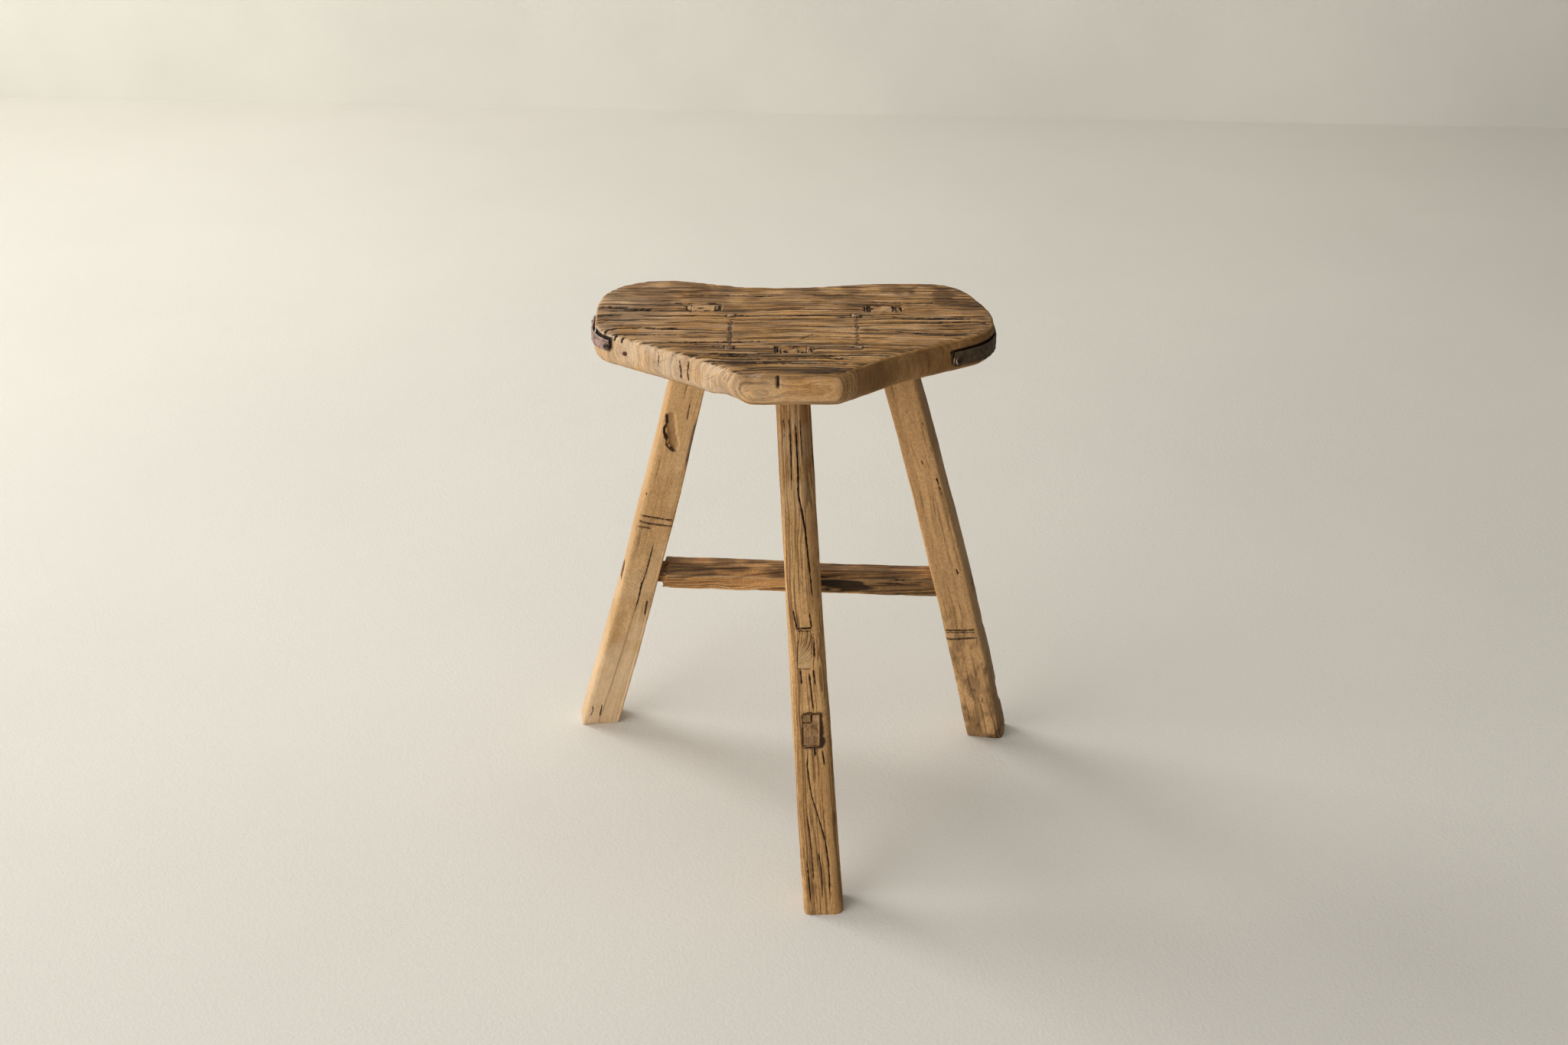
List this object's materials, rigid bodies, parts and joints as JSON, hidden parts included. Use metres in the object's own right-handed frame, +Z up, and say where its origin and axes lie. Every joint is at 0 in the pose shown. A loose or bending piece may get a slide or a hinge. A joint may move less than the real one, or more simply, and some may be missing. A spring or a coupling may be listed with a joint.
{
  "type": "milking stool",
  "caption": "Rustic low wooden stool: a thick winged plank seat on splayed wedged legs tied by a T of stretchers, with iron crack staples and end bands.",
  "frame": {"origin": "centre of the bounding box, on the floor", "axes": "+Z up along the stool's height, -Y towards the seat's nose and the front leg, +X to the right seen from the front"},
  "size_m": [0.4527, 0.366, 0.5],
  "materials": {
    "seat_wood": "weathered, deeply grooved bare elm",
    "leg_wood": "bare, hand-dressed, worn",
    "stretcher_wood": "bare, darkened with age",
    "wedge_wood": "bare end grain, grey-brown",
    "filler_wood": "rough, grey-brown",
    "iron": "forged, rusted dark brown"
  },
  "bodies": {
    "root": {"band_nail_left_front": "iron", "band_nail_left_rear": "iron", "band_nail_right_front": "iron", "band_nail_right_rear": "iron", "centre_stretcher": "stretcher_wood", "crack_staple_left": "iron", "crack_staple_right": "iron", "edge_nail": "iron", "end_band_left": "iron", "end_band_right": "iron", "front_leg": "leg_wood", "front_tenon_wedge_left": "wedge_wood", "front_tenon_wedge_right": "wedge_wood", "mortise_plug": "filler_wood", "mortise_plug_wedge": "filler_wood", "rear_left_leg": "leg_wood", "rear_left_tenon_wedge_left": "wedge_wood", "rear_left_tenon_wedge_right": "wedge_wood", "rear_right_leg": "leg_wood", "rear_right_tenon_wedge_left": "wedge_wood", "rear_right_tenon_wedge_right": "wedge_wood", "rear_stretcher": "stretcher_wood", "seat": "seat_wood"}
  },
  "joints": []
}
